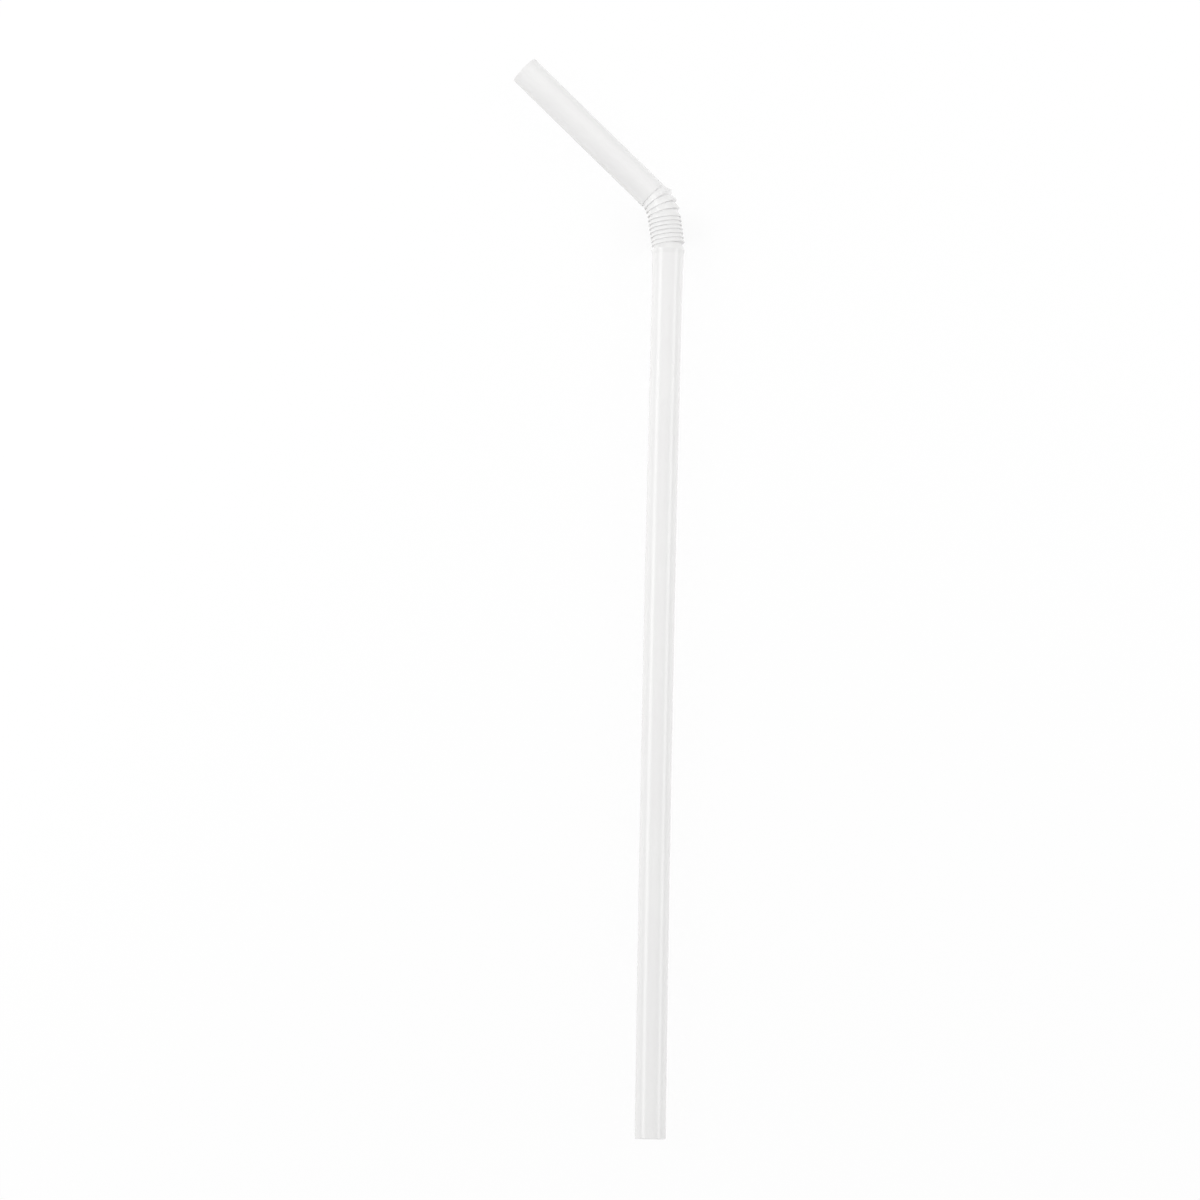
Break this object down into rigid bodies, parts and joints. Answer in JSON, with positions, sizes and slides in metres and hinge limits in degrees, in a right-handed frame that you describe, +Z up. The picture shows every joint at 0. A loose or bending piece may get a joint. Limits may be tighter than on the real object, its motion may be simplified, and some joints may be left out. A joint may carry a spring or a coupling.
{
  "type": "plastic drinking straw",
  "caption": "Bent flexible drinking straw: a thin plastic tube with a long leg, a short leg and a pleated bellows between them, open at both ends.",
  "frame": {"origin": "middle of the straw's footprint, on the surface that it lies on", "axes": "+Y along the long leg from its open end to the pleats, +Z up; the short leg turns from +Y towards -X"},
  "size_m": [0.0334, 0.2048, 0.0064],
  "materials": {
    "polypropylene": "gloss"
  },
  "bodies": {
    "root": {"straw": "polypropylene"}
  },
  "joints": []
}
